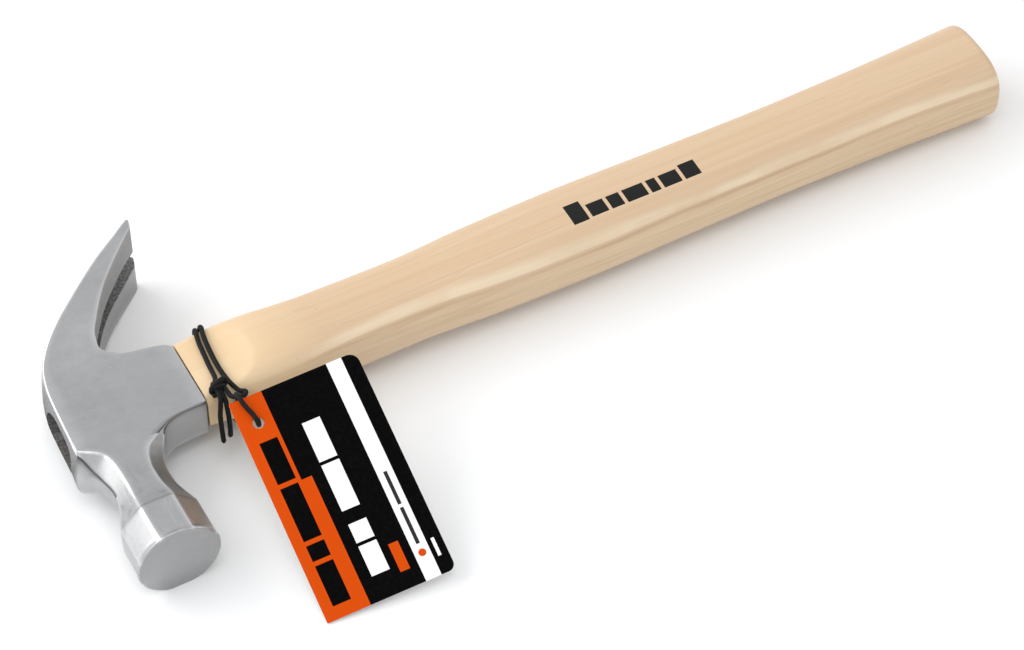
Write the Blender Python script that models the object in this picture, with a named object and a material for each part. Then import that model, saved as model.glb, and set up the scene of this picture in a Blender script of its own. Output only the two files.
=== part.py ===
"""Wooden-handled claw hammer lying on its side, with a card swing tag on an elastic loop.

Units are metres. The row frame has +X along the handle from the head to the butt, +Y from the
striking face to the claws, and +Z up through the thickness. Everything is drawn in the hammer's
own frame, whose origin is where the eye's axis crosses the head's middle, and one empty carries
that frame to the row frame, whose origin is the bottom centre of the hammer's box.
"""

import math

import bmesh
import bpy
import numpy as np
from mathutils import Matrix, Vector

# One drawing unit in metres. Every length below is in drawing units, a little over a millimetre
# each, so that the steel head weighs what an eight ounce hammer's head weighs.
UNIT = 0.001075

# Row frame: where the hammer's own origin sits.
EYE_CENTRE = Vector((-125.6, -1.1, 12.9)) * UNIT

# Head
EYE_HALF_DEPTH = 8.1
EYE_HALF_THICKNESS = 4.4
EYE_FLARE = 1.08
EYE_SQUARENESS = 2.8
SLOT_ROOT = (8.8, 18.2)
SLOT_ROOT_WIDTH = 1.4
SLOT_MOUTH_WIDTH = 4.2
SLOT_BEVEL = 1.4

# Handle
BUTT_X = 263.2
TENON_END_X = -9.0
NECK_FLAT_END_X = 30.0
NECK_RUNOUT_RADIUS = 30.0
NECK_HALF_THICKNESS = 6.2
NECK_FRONT_DEPTH = 10.2
NECK_REAR_DEPTH = 12.1
OVAL_SQUARENESS = 2.8
BUTT_EDGE = 2.0
BUTT_DOME = 0.8

# Wedges
WOOD_WEDGE_LENGTH = 22.0
WOOD_WEDGE_THICK_END = 2.4
WOOD_WEDGE_THIN_END = 0.6
STEEL_WEDGE_LENGTH = 11.0
STEEL_WEDGE_THICK_END = 1.7
STEEL_WEDGE_THIN_END = 0.4
STEEL_WEDGE_WIDTH = 6.4
STEEL_WEDGE_Y = 4.0

# Swing tag and elastic
TAG_WIDTH = 34.7
TAG_LENGTH = 61.7
TAG_THICKNESS = 0.5
TAG_CORNER_RADIUS = 3.0
TAG_TOP_LEFT = (28.1, -17.5, 11.2)
TAG_TURN = math.radians(-4.1)
TAG_ROLL = math.radians(-6.0)
TAG_TILT = math.radians(19.4)
TAG_HOLE = (4.95, 7.5)
TAG_HOLE_RADIUS = 1.75
CORD_DIAMETER = 1.3
CORD_STEP = 1.9
KNOT_CENTRE = (29.15, -9.0, 8.6)
KNOT_HALF_SIZE = (2.5, 2.3, 2.0)

# Slices across the head, from the striking face to the claw tips. Each slice is an octagon:
# back ridge, back edge, front edge and front ridge (x, y), half thickness between the edges,
# half height of the back and front ridge, how round the slice is, from 0 to 1, and how far the
# back bulges between its ridges.
HEAD_SLICES = (
    # back ridge       back edge        front edge       front ridge      thick  back  front round bulge
    ((-9.30, -47.30), (-3.80, -47.30), (4.20, -47.30), (9.70, -47.30), 9.50, 4.00, 4.00, 1.00, 0.0),
    ((-10.20, -46.55), (-4.15, -46.55), (4.55, -46.55), (10.60, -46.55), 10.40, 4.35, 4.35, 1.00, 0.0),
    ((-10.20, -45.20), (-4.15, -45.20), (4.55, -45.20), (10.60, -45.20), 10.20, 4.30, 4.30, 0.30, 0.0),
    ((-10.10, -36.20), (-4.15, -36.20), (4.60, -36.20), (10.65, -36.20), 10.10, 4.20, 4.20, 0.12, 0.0),
    ((-9.55, -33.90), (-3.95, -33.90), (4.95, -33.90), (10.20, -33.90), 9.20, 3.90, 3.90, 0.05, 0.0),
    ((-8.10, -30.40), (-3.60, -30.40), (4.80, -30.40), (9.25, -30.40), 7.75, 3.40, 3.40, 0.00, 0.0),
    ((-6.95, -27.00), (-3.35, -27.00), (4.50, -27.00), (8.55, -27.00), 6.75, 3.00, 3.00, 0.00, 0.0),
    ((-6.60, -23.20), (-3.20, -23.00), (4.40, -23.00), (8.40, -23.10), 6.30, 2.90, 2.90, 0.00, 0.0),
    ((-7.40, -19.60), (-3.35, -17.80), (5.00, -19.20), (8.90, -19.40), 6.25, 3.00, 3.00, 0.00, 0.0),
    ((-9.10, -17.10), (-4.20, -13.80), (6.30, -16.30), (10.10, -16.60), 6.25, 3.30, 3.30, 0.00, 0.0),
    ((-10.90, -15.10), (-6.40, -11.50), (8.90, -14.30), (11.40, -14.50), 6.25, 3.80, 4.30, 0.00, 0.1),
    ((-11.60, -13.20), (-8.80, -10.00), (12.00, -12.40), (12.60, -12.70), 6.25, 4.60, 5.80, 0.00, 0.4),
    ((-11.45, -11.60), (-10.20, -8.80), (15.60, -10.80), (15.90, -10.95), 6.25, 5.30, 5.95, 0.00, 0.5),
    ((-11.30, -9.40), (-10.15, -7.40), (19.80, -10.30), (20.00, -10.45), 6.25, 5.45, 5.95, 0.00, 0.7),
    ((-11.15, -7.00), (-10.05, -5.60), (24.40, -10.25), (24.55, -10.40), 6.25, 5.50, 5.95, 0.00, 0.85),
    ((-10.95, -4.80), (-9.95, -4.00), (25.05, -9.60), (25.20, -9.60), 6.25, 5.50, 5.95, 0.00, 1.0),
    ((-10.55, 1.50), (-9.65, 1.50), (25.05, 0.00), (25.20, 0.00), 6.25, 5.50, 5.95, 0.00, 1.2),
    ((-10.10, 7.40), (-9.30, 7.20), (25.05, 9.40), (25.20, 9.40), 6.25, 5.50, 5.95, 0.00, 1.2),
    ((-9.90, 9.20), (-9.15, 9.00), (24.00, 11.10), (24.10, 11.30), 6.25, 5.50, 5.95, 0.00, 1.1),
    ((-9.60, 11.30), (-8.95, 11.00), (20.00, 12.45), (20.05, 12.65), 6.35, 5.55, 6.00, 0.00, 1.0),
    ((-9.15, 13.70), (-8.60, 13.40), (13.50, 13.60), (13.60, 13.80), 6.60, 5.60, 6.20, 0.00, 0.8),
    ((-8.50, 16.30), (-7.95, 16.00), (9.60, 15.80), (9.75, 15.95), 6.95, 5.80, 6.50, 0.00, 0.6),
    ((-7.60, 19.00), (-7.00, 18.60), (8.00, 18.20), (8.20, 18.25), 7.45, 6.10, 7.10, 0.00, 0.4),
    ((-5.00, 23.30), (-4.35, 22.80), (8.60, 21.70), (8.80, 21.65), 8.20, 6.60, 7.90, 0.00, 0.2),
    ((0.30, 28.80), (0.80, 28.30), (11.40, 26.60), (11.55, 26.50), 9.30, 7.20, 9.00, 0.00, 0.0),
    ((8.20, 35.10), (8.60, 34.60), (16.10, 33.10), (16.25, 33.00), 10.60, 8.40, 10.30, 0.00, 0.0),
    ((17.80, 42.20), (18.10, 41.80), (22.10, 39.30), (22.20, 39.20), 11.75, 9.60, 11.50, 0.00, 0.0),
    ((25.80, 47.00), (26.00, 46.70), (27.75, 44.50), (27.85, 44.40), 12.60, 10.40, 12.40, 0.00, 0.0),
    ((28.85, 48.95), (28.95, 48.70), (30.30, 47.05), (30.40, 46.95), 12.80, 10.60, 12.60, 0.00, 0.0),
    ((30.10, 49.50), (30.15, 49.40), (30.75, 48.75), (30.80, 48.65), 12.90, 10.75, 12.75, 0.00, 0.0),
)

# Handle slices: distance from the eye, half depth, half thickness, and how far the slice's
# middle lies towards the claws.
HANDLE_SLICES = (
    (25.5, 11.75, 7.6, 0.85),
    (34.0, 12.45, 8.2, 0.85),
    (40.0, 12.6, 8.6, 0.7),
    (46.0, 12.5, 8.9, 0.4),
    (54.0, 11.95, 8.8, 0.1),
    (62.0, 11.6, 8.6, 0.0),
    (86.0, 11.3, 8.4, 0.0),
    (110.0, 12.3, 9.0, 0.0),
    (136.0, 12.7, 9.4, 0.0),
    (165.0, 12.2, 9.2, 0.0),
    (195.0, 11.8, 9.2, 0.0),
    (225.0, 12.1, 9.6, 0.0),
    (263.2, 13.3, 10.5, 0.0),
)

# Routes of the elastic, each from one end to the other. The hitch goes twice round the neck.
STRAND_LEFT_ROUTE = (
    (29.75, -5.7, 8.0),
    (30.1, -3.7, 7.4),
    (30.4, -0.2, 7.2),
    (30.8, 3.6, 7.2),
    (31.2, 7.2, 7.2),
    (31.75, 9.8, 7.15),
    (32.05, 11.15, 6.8),
    (32.4, 12.3, 5.95),
    (32.5, 12.98, 4.6),
    (32.7, 13.0, -4.6),
    (32.7, 12.3, -5.95),
    (32.7, 11.15, -6.8),
    (32.7, 9.8, -7.15),
    (33.0, -8.8, -7.2),
    (33.05, -10.2, -6.7),
    (33.1, -11.1, -5.7),
    (33.1, -11.35, -4.4),
    (33.0, -11.5, -0.5),
    (32.8, -12.2, 2.2),
    (32.6, -12.5, 3.4),
)
STRAND_RIGHT_ROUTE = (
    (30.6, -12.0, 8.2),
    (30.7, -13.1, 8.4),
    (31.4, -14.0, 8.5),
    (32.8, -14.4, 8.4),
    (34.1, -14.3, 8.2),
    (34.7, -13.3, 8.0),
    (33.6, -12.1, 7.6),
    (33.0, -10.6, 7.7),
    (32.45, -7.6, 7.5),
    (32.2, -4.0, 7.35),
    (32.25, -0.5, 7.3),
    (32.5, 3.0, 7.3),
    (32.85, 6.5, 7.35),
    (33.4, 9.8, 7.3),
    (33.85, 11.3, 7.05),
    (34.0, 12.5, 6.15),
    (34.05, 13.2, 4.6),
    (34.3, 13.25, -4.6),
    (34.3, 12.5, -6.15),
    (34.3, 11.3, -7.05),
    (34.3, 9.8, -7.35),
    (34.6, -8.8, -7.35),
    (34.65, -10.2, -6.9),
    (34.7, -11.1, -5.8),
    (34.7, -11.5, -4.4),
    (34.6, -11.8, -0.5),
    (34.4, -12.3, 2.2),
    (34.3, -12.7, 3.4),
)
TAIL_LEFT_ROUTE = (
    (28.2, -12.2, 7.8),
    (27.7, -13.1, 6.4),
    (26.9, -14.3, 3.6),
    (26.4, -15.8, 0.2),
    (25.9, -17.6, -3.0),
)
TAIL_RIGHT_ROUTE = (
    (29.3, -12.5, 7.1),
    (29.1, -13.9, 5.2),
    (28.9, -15.0, 2.4),
    (28.6, -16.0, -0.4),
    (28.2, -16.6, -3.0),
)
TAG_LOOP_ROUTE = (
    (32.7, -13.2, 4.5),
    (32.4, -15.0, 5.0),
    (31.8, -16.2, 6.9),
    (31.3, -16.3, 9.4),
    (31.0, -16.2, 11.7),
    (30.9, -16.9, 13.1),
    (30.95, -18.2, 13.3),
    (31.1, -19.6, 12.7),
    (31.6, -21.3, 11.9),
    (32.2, -23.0, 11.2),
    (32.5, -24.5, 10.5),
    (32.75, -25.0, 9.3),
    (32.95, -24.7, 8.2),
    (33.5, -23.1, 7.4),
    (34.1, -20.0, 6.8),
    (34.3, -16.4, 5.3),
    (34.3, -13.6, 4.4),
)

LIGHT_STEEL = (0.52, 0.53, 0.55, 1.0)
BRIGHT_STEEL = (0.60, 0.60, 0.62, 1.0)
PALE_WOOD = (0.76, 0.56, 0.36, 1.0)
DARK_WOOD = (0.40, 0.24, 0.12, 1.0)
BLACK_ELASTIC = (0.012, 0.012, 0.012, 1.0)
ORANGE_CARD = (0.80, 0.12, 0.012, 1.0)


def clear_scene():
    for item in list(bpy.data.objects):
        bpy.data.objects.remove(item, do_unlink=True)


def material(name, colour, roughness, metallic=0.0):
    made = bpy.data.materials.new(name)
    made.use_nodes = True
    shader = made.node_tree.nodes["Principled BSDF"]
    shader.inputs["Base Color"].default_value = colour
    shader.inputs["Roughness"].default_value = roughness
    shader.inputs["Metallic"].default_value = metallic
    made.diffuse_color = colour
    return made


def hammer_frame():
    """The empty that carries the hammer's own frame to the row frame."""
    empty = bpy.data.objects.new("hammer_frame", None)
    empty.location = EYE_CENTRE
    bpy.context.scene.collection.objects.link(empty)
    return empty


def add_object(name, data, frame, finish):
    made = bpy.data.objects.new(name, data)
    bpy.context.scene.collection.objects.link(made)
    made.parent = frame
    data.materials.append(finish)
    return made


def smooth_columns(keys, values, wanted):
    """Shape-preserving cubic through the rows of values, one row a key, read at the wanted keys."""
    keys = np.asarray(keys, float)
    values = np.asarray(values, float)
    steps = np.diff(keys)[:, None]
    slopes = np.diff(values, axis=0) / steps
    tangents = np.zeros_like(values)
    tangents[0] = slopes[0]
    tangents[-1] = slopes[-1]
    before = slopes[:-1]
    after = slopes[1:]
    same_way = before * after > 0
    safe = np.where(same_way, before + after, 1.0)
    tangents[1:-1] = np.where(same_way, 2 * before * after / safe, 0.0)
    rows = []
    for key in wanted:
        i = min(max(int(np.searchsorted(keys, key, side="right")) - 1, 0), len(keys) - 2)
        width = keys[i + 1] - keys[i]
        t = (key - keys[i]) / width
        rows.append(
            values[i] * (2 * t**3 - 3 * t**2 + 1)
            + tangents[i] * width * (t**3 - 2 * t**2 + t)
            + values[i + 1] * (3 * t**2 - 2 * t**3)
            + tangents[i + 1] * width * (t**3 - t**2)
        )
    return np.array(rows)


def loft_mesh(name, loops):
    """A closed mesh through loops of equal length, with a flat cap at each end."""
    bm = bmesh.new()
    rings = [[bm.verts.new(Vector(point) * UNIT) for point in loop] for loop in loops]
    for near, far in zip(rings, rings[1:]):
        for i, corner in enumerate(near):
            nxt = (i + 1) % len(near)
            bm.faces.new((corner, near[nxt], far[nxt], far[i]))
    bm.faces.new(list(reversed(rings[0])))
    bm.faces.new(rings[-1])
    bmesh.ops.recalc_face_normals(bm, faces=bm.faces)
    mesh = bpy.data.meshes.new(name)
    bm.to_mesh(mesh)
    bm.free()
    return mesh


def shade_round(item, degrees):
    item.data.shade_smooth()
    item.data.set_sharp_from_angle(angle=math.radians(degrees))


def cutter(name, mesh, frame):
    made = bpy.data.objects.new(name, mesh)
    bpy.context.scene.collection.objects.link(made)
    made.parent = frame
    made.hide_render = True
    made.display_type = "WIRE"
    return made


def cut(item, tool):
    modifier = item.modifiers.new("cut_" + tool.name, "BOOLEAN")
    modifier.operation = "DIFFERENCE"
    modifier.solver = "EXACT"
    modifier.object = tool


def superellipse(half_y, half_z, power, count):
    """Points (y, z) round a rounded rectangle, evenly spread in angle."""
    points = []
    for i in range(count):
        angle = 2 * math.pi * (i + 0.5) / count
        c = math.cos(angle)
        s = math.sin(angle)
        points.append(
            (
                half_y * math.copysign(abs(c) ** (2 / power), c),
                half_z * math.copysign(abs(s) ** (2 / power), s),
            )
        )
    return points


def head_loop(row, per_side):
    """One slice of the head as a loop of points: an octagon whose sides bulge to a circle."""
    back_ridge, back_edge, front_edge, front_ridge = row[0:2], row[2:4], row[4:6], row[6:8]
    thick, back_height, front_height, roundness, bulge = row[8:13]
    corners = [
        np.array((*back_edge, thick)),
        np.array((*front_edge, thick)),
        np.array((*front_ridge, front_height)),
        np.array((*front_ridge, -front_height)),
        np.array((*front_edge, -thick)),
        np.array((*back_edge, -thick)),
        np.array((*back_ridge, -back_height)),
        np.array((*back_ridge, back_height)),
    ]
    centre = (corners[3] + corners[7]) / 2
    loop = []
    for start, end in zip(corners, corners[1:] + corners[:1]):
        reach = (np.linalg.norm(start - centre) + np.linalg.norm(end - centre)) / 2
        for step in range(per_side):
            point = start + (end - start) * step / per_side
            arm = point - centre
            point = point + arm * (reach / np.linalg.norm(arm) - 1) * roundness
            if start is corners[6]:
                point[0] -= bulge * (1 - (point[2] / back_height) ** 2)
            loop.append(point)
    return loop


def head_rows(between):
    """Rows of numbers for every slice, with the given number of steps between two slices."""
    values = [[*a, *b, *c, *d, *rest] for a, b, c, d, *rest in HEAD_SLICES]
    last = len(values) - 1
    wanted = [i / between for i in range(last * between + 1)]
    return smooth_columns(range(last + 1), values, wanted)


def eye_cutter(frame):
    """The oval eye through the head, a little wider at the crown than at the collar."""
    loops = []
    for x, share in ((-16.0, EYE_FLARE * 1.02), (0.0, 1.02), (30.0, 1.0)):
        outline = superellipse(
            EYE_HALF_DEPTH * share, EYE_HALF_THICKNESS * share, EYE_SQUARENESS, 28
        )
        loops.append([(x, y, z) for y, z in outline])
    return cutter("eye_cutter", loft_mesh("eye_cutter", loops), frame)


def slot_cutter(frame):
    """The tapered slot that splits the claws: round at its root, and bevelled on the inner side."""
    root_x, root_y = SLOT_ROOT
    run = Vector((30.8 - root_x, 48.9 - root_y))
    along = run.normalized()
    length = run.length
    half_root = SLOT_ROOT_WIDTH / 2
    half_mouth = SLOT_MOUTH_WIDTH / 2
    across = Vector((-along.y, along.x))
    loops = []
    for side, bevel in ((-14.0, SLOT_BEVEL), (1.0, SLOT_BEVEL), (8.5, -0.1), (14.0, -0.1)):
        outline = []
        for share in (0.0, 0.2, 0.5, 0.8, 0.93, 1.0, 1.25):
            half = half_root + (half_mouth - half_root) * share
            half += bevel * min(1.0, max(0.0, (1.0 - share) / 0.12))
            outline.append((length * share, half))
        root = outline[0][1]
        arc = [
            (-root * math.sin(a), -root * math.cos(a)) for a in np.linspace(0.0, math.pi, 7)[1:-1]
        ]
        outline = [(far, -half) for far, half in reversed(outline)] + arc + outline
        loop = []
        for far, z in outline:
            place = Vector(SLOT_ROOT) + along * far + across * side
            loop.append((place.x, place.y, z))
        loops.append(loop)
    return cutter("slot_cutter", loft_mesh("slot_cutter", loops), frame)


def make_head(frame, finish):
    loops = [head_loop(row, 2) for row in head_rows(3)]
    head = add_object("hammer_head", loft_mesh("hammer_head", loops), frame, finish)
    cut(head, eye_cutter(frame))
    cut(head, slot_cutter(frame))
    shade_round(head, 28)
    return head


def neck_limit(x, flat):
    """How far the neck's flat lets the handle rise at x: level, then run out along an arc."""
    past = max(x - NECK_FLAT_END_X, 0.0)
    return flat + past * past / (2 * NECK_RUNOUT_RADIUS)


def handle_loop(x, count, inset=0.0):
    """One slice of the handle. The neck's flats are cut into the full oval."""
    table = np.array(HANDLE_SLICES)
    half_y, half_z, middle = smooth_columns(table[:, 0], table[:, 1:], [x])[0]
    outline = superellipse(half_y - inset, half_z - inset, OVAL_SQUARENESS, count)
    top = neck_limit(x, NECK_HALF_THICKNESS)
    front = neck_limit(x, NECK_FRONT_DEPTH)
    rear = neck_limit(x, NECK_REAR_DEPTH)
    return [
        (x, min(max(y + middle, -front), rear), min(max(z, -top), top)) for y, z in outline
    ]


def tenon_loop(x, count):
    """One slice of the tenon, which fills the eye with a small gap all round."""
    flare = 1.0 + (EYE_FLARE - 1.0) * max(-x, 0.0) / 16.0
    return [
        (x, y, z)
        for y, z in superellipse(
            EYE_HALF_DEPTH * flare - 0.35, EYE_HALF_THICKNESS * flare - 0.35, EYE_SQUARENESS, count
        )
    ]


def wedge_mesh(name, x_thick, x_thin, thick, thin, width, centre_y=0.0, upright=False):
    """A wedge along X. Flat in Z, or flat in Y where it stands upright across the tenon."""
    loops = []
    for x, thickness in ((x_thick, thick), (x_thin, thin)):
        half = thickness / 2
        wide = width / 2
        if upright:
            loop = [(-half, -wide), (half, -wide), (half, wide), (-half, wide)]
        else:
            loop = [(-wide, -half), (wide, -half), (wide, half), (-wide, half)]
        loops.append([(x, centre_y + y, z) for y, z in loop])
    return loft_mesh(name, loops)


def steel_wedge_mesh(name, centre_y, clearance=0.0):
    """A small steel wedge across the grain, or its slot where a clearance is given."""
    start = TENON_END_X - (4.0 if clearance else -0.1)
    slope = (STEEL_WEDGE_THICK_END - STEEL_WEDGE_THIN_END) / STEEL_WEDGE_LENGTH
    end = TENON_END_X + STEEL_WEDGE_LENGTH + clearance
    return wedge_mesh(
        name,
        start,
        end,
        STEEL_WEDGE_THICK_END + slope * (TENON_END_X - start) + 2 * clearance,
        STEEL_WEDGE_THIN_END + 2 * clearance,
        STEEL_WEDGE_WIDTH + 2 * clearance,
        centre_y,
        upright=True,
    )


def wood_wedge_mesh(name, width, clearance=0.0):
    """The wooden wedge that spreads the tenon, or its kerf where a clearance is given."""
    start = TENON_END_X - (4.0 if clearance else -0.1)
    slope = (WOOD_WEDGE_THICK_END - WOOD_WEDGE_THIN_END) / WOOD_WEDGE_LENGTH
    end = TENON_END_X + WOOD_WEDGE_LENGTH + clearance
    return wedge_mesh(
        name,
        start,
        end,
        WOOD_WEDGE_THICK_END + slope * (TENON_END_X - start) + 2 * clearance,
        WOOD_WEDGE_THIN_END + 2 * clearance,
        width,
    )


def make_handle(frame, finish, slots):
    count = 28
    stations = [25.5, 28.0, 30.0, 32.0, 34.0, 36.0, 38.0, 40.0, 42.0, 44.0, 47.0, 51.0]
    stations += list(np.linspace(56.0, BUTT_X - 6.0, 24))
    loops = [tenon_loop(x, count) for x in (TENON_END_X, 0.0, 25.5)]
    loops += [handle_loop(x, count) for x in stations]
    for angle in np.linspace(0.0, math.pi / 2, 5)[:-1]:
        x = BUTT_X - BUTT_DOME - BUTT_EDGE * (1 - math.sin(angle))
        loops.append(handle_loop(x, count, BUTT_EDGE * (1 - math.cos(angle))))
    loops.append([(BUTT_X, y * 0.55, z * 0.55) for _, y, z in loops[-1]])
    handle = add_object("handle", loft_mesh("handle", loops), frame, finish)
    kerf = cutter("kerf_cutter", wood_wedge_mesh("kerf_cutter", 40.0, 0.3), frame)
    cut(handle, kerf)
    for slot in slots:
        cut(handle, slot)
    shade_round(handle, 35)
    return handle


def make_wedges(frame, wood, steel, slots):
    width = 2 * (EYE_HALF_DEPTH - 0.6)
    wooden = add_object("wooden_wedge", wood_wedge_mesh("wooden_wedge", width), frame, wood)
    for slot in slots:
        cut(wooden, slot)
    for name, centre_y in (
        ("steel_wedge_front", -STEEL_WEDGE_Y),
        ("steel_wedge_rear", STEEL_WEDGE_Y),
    ):
        add_object(name, steel_wedge_mesh(name, centre_y), frame, steel)


def wedge_slots(frame):
    slots = []
    for name, centre_y in (
        ("slot_front_cutter", -STEEL_WEDGE_Y),
        ("slot_rear_cutter", STEEL_WEDGE_Y),
    ):
        slots.append(cutter(name, steel_wedge_mesh(name, centre_y, 0.3), frame))
    return slots


def tag_outline():
    """The card's outline: square by the hole and at the low corner, round on the far side."""
    radius = TAG_CORNER_RADIUS
    points = [(0.0, 0.0), (0.0, -TAG_LENGTH)]
    for start, centre in (
        (-math.pi / 2, (TAG_WIDTH - radius, radius - TAG_LENGTH)),
        (0.0, (TAG_WIDTH - radius, -radius)),
    ):
        for angle in np.linspace(start, start + math.pi / 2, 7):
            points.append(
                (centre[0] + radius * math.cos(angle), centre[1] + radius * math.sin(angle))
            )
    return points


def make_tag(frame, finish):
    """The card, drawn flat with its hole, then tilted and turned into place."""
    half = TAG_THICKNESS / 2
    outline = tag_outline()
    loops = [[(x, y, z) for x, y in outline] for z in (-half, half)]
    tag = add_object("tag_card", loft_mesh("tag_card", loops), frame, finish)
    hole_x, hole_y = TAG_HOLE
    circle = [
        (
            hole_x + TAG_HOLE_RADIUS * math.cos(2 * math.pi * i / 20),
            -hole_y + TAG_HOLE_RADIUS * math.sin(2 * math.pi * i / 20),
        )
        for i in range(20)
    ]
    drill_loops = [[(x, y, z) for x, y in circle] for z in (-3.0, 3.0)]
    drill = cutter("tag_hole_cutter", loft_mesh("tag_hole_cutter", drill_loops), frame)
    place = Matrix.Translation(Vector(TAG_TOP_LEFT) * UNIT)
    turn = Matrix.Rotation(TAG_TURN, 4, "Z")
    turn = turn @ Matrix.Rotation(TAG_ROLL, 4, "Y") @ Matrix.Rotation(TAG_TILT, 4, "X")
    for item in (tag, drill):
        item.matrix_local = place @ turn
    cut(tag, drill)
    return tag


def cord_points(route, spacing):
    """Evenly spaced points along a smooth curve through the route's own points. The curve is
    centripetal, so it never loops or comes to a point where the route's steps are uneven."""
    points = [Vector(p) for p in route]
    ends = [2 * points[0] - points[1], 2 * points[-1] - points[-2]]
    chain = [ends[0]] + points + [ends[1]]
    fine = []
    for a, b, c, d in zip(chain, chain[1:], chain[2:], chain[3:]):
        before, here, after = ((q - p).length ** 0.5 for p, q in ((a, b), (b, c), (c, d)))
        leave = (b - a) / before - (c - a) / (before + here) + (c - b) / here
        arrive = (c - b) / here - (d - b) / (here + after) + (d - c) / after
        for step in range(16):
            t = step / 16
            fine.append(
                b * (2 * t**3 - 3 * t**2 + 1)
                + leave * here * (t**3 - 2 * t**2 + t)
                + c * (3 * t**2 - 2 * t**3)
                + arrive * here * (t**3 - t**2)
            )
    fine.append(points[-1])
    travelled = [0.0]
    for a, b in zip(fine, fine[1:]):
        travelled.append(travelled[-1] + (b - a).length)
    count = max(2, round(travelled[-1] / spacing))
    wanted = np.linspace(0.0, travelled[-1], count + 1)
    return [
        Vector([np.interp(far, travelled, [p[axis] for p in fine]) for axis in range(3)])
        for far in wanted
    ]


def make_cord(name, route, frame, finish):
    curve = bpy.data.curves.new(name, "CURVE")
    curve.dimensions = "3D"
    curve.bevel_depth = CORD_DIAMETER / 2 * UNIT
    curve.bevel_resolution = 2
    curve.use_fill_caps = True
    points = cord_points(route, CORD_STEP)
    spline = curve.splines.new("POLY")
    spline.points.add(len(points) - 1)
    for target, point in zip(spline.points, points):
        target.co = (*(point * UNIT), 1.0)
    return add_object(name, curve, frame, finish)


def make_knot(frame, finish):
    """The overhand knot, as a rounded lump of the knot's outer size."""
    bm = bmesh.new()
    bmesh.ops.create_uvsphere(bm, u_segments=16, v_segments=10, radius=UNIT)
    bmesh.ops.scale(bm, vec=KNOT_HALF_SIZE, verts=bm.verts)
    mesh = bpy.data.meshes.new("elastic_knot")
    bm.to_mesh(mesh)
    bm.free()
    knot = add_object("elastic_knot", mesh, frame, finish)
    knot.location = Vector(KNOT_CENTRE) * UNIT
    shade_round(knot, 60)
    return knot


def main():
    clear_scene()
    frame = hammer_frame()
    steel = material("ground_steel", LIGHT_STEEL, 0.35, 1.0)
    wedge_steel = material("wedge_steel", BRIGHT_STEEL, 0.45, 1.0)
    wood = material("varnished_wood", PALE_WOOD, 0.42)
    wedge_wood = material("wedge_wood", DARK_WOOD, 0.6)
    elastic = material("black_elastic", BLACK_ELASTIC, 0.75)
    card = material("printed_card", ORANGE_CARD, 0.45)
    make_head(frame, steel)
    slots = wedge_slots(frame)
    make_handle(frame, wood, slots)
    make_wedges(frame, wedge_wood, wedge_steel, slots)
    make_tag(frame, card)
    make_knot(frame, elastic)
    for name, route in (
        ("elastic_strand_left", STRAND_LEFT_ROUTE),
        ("elastic_strand_right", STRAND_RIGHT_ROUTE),
        ("elastic_tail_left", TAIL_LEFT_ROUTE),
        ("elastic_tail_right", TAIL_RIGHT_ROUTE),
        ("elastic_tag_loop", TAG_LOOP_ROUTE),
    ):
        make_cord(name, route, frame, elastic)


main()
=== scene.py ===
"""The looks of the wooden-handled claw hammer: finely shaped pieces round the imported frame, with
procedural steel, varnished wood, printed card and braided elastic, on a pale studio floor."""

import math

import bmesh
import bpy
import numpy as np
from mathutils import Matrix, Vector
from mathutils.kdtree import KDTree


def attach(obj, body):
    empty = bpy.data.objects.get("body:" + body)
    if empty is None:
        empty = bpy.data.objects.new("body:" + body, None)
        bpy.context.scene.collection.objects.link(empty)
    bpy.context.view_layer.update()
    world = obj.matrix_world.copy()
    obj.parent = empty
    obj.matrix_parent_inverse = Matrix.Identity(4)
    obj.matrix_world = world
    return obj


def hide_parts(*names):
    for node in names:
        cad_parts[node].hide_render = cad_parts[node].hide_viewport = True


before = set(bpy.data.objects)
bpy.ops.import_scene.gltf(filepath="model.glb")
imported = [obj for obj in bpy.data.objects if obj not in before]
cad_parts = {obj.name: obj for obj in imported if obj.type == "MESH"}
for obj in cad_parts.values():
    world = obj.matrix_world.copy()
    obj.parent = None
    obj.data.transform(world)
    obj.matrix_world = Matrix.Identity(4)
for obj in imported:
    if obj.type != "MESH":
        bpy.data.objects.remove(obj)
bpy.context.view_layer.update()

# One drawing unit in metres, and the hammer's own origin in the row frame.
UNIT = 0.001075
EYE_CENTRE = Vector((-125.6, -1.1, 12.9)) * UNIT

# Camera: what it looks at, how far off it stands, and its angles.
CAMERA_TARGET = (107.15, -20.24, 0.0)
CAMERA_DISTANCE = 931.2
CAMERA_AZIMUTH = math.radians(-28.208)
CAMERA_ELEVATION = math.radians(50.716)
CAMERA_LENS = 126.56

# The three points that the hammer rests on: a claw tip, the bell's rim and the butt.
RESTING_POINTS = ((30.3, 49.1, -12.95), (0.2, -46.3, -10.45), (261.2, 0.0, -10.5))

# The floor meets those points under the hammer and is level further out, in metres.
FLOOR_MIDDLE_Y = -0.017
FLOOR_REACH = (0.155, 0.078)
FLOOR_FADE = 0.16
FLOOR_LINES = (-3.0, -1.5, -0.8, *np.linspace(-0.4, 0.4, 81), 0.8, 1.5, 3.0)

# The surroundings, and each lamp: name, direction, distance, size in metres, and power in watts.
SKY_COLOUR = (0.97, 0.985, 1.0, 1.0)
SKY_STRENGTH = 0.84
LAMPS = (
    ("key", (-0.72, 0.50, 0.50), 1.1, (1.3, 0.9), 8.0),
    ("top", (-0.15, -0.25, 1.0), 1.3, (0.7, 0.7), 2.5),
)

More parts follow.
